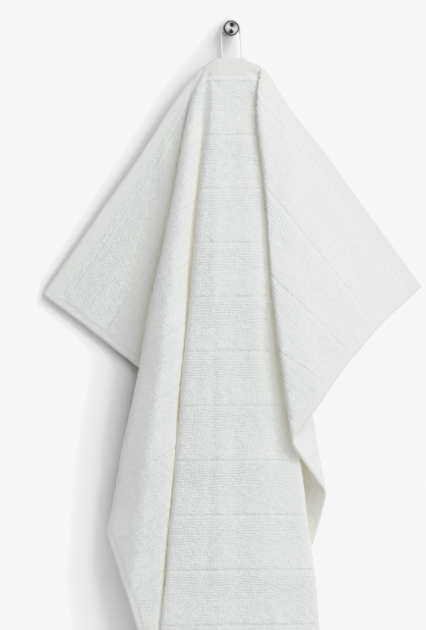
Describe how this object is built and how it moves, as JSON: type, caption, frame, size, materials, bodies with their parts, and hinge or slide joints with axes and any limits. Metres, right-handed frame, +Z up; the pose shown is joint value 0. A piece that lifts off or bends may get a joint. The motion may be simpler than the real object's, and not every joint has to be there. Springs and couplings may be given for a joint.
{
  "type": "hand towel and wall peg",
  "caption": "Ribbed terry hand towel gathered into folds where it hangs by a sewn tape loop from a short round steel wall peg.",
  "frame": {"origin": "centre of the peg's flat wall face", "axes": "+Z up, +Y into the wall, so the towel's front faces -Y"},
  "size_m": [0.3079, 0.0629, 0.7686],
  "materials": {
    "terry": "white ribbed cotton terry with flat woven hems",
    "tape": "off-white woven cotton tape",
    "steel": "turned stainless steel with fine circular tool marks"
  },
  "bodies": {
    "root": {"towel": "terry", "hanging_loop": "tape", "peg": "steel"}
  },
  "joints": []
}
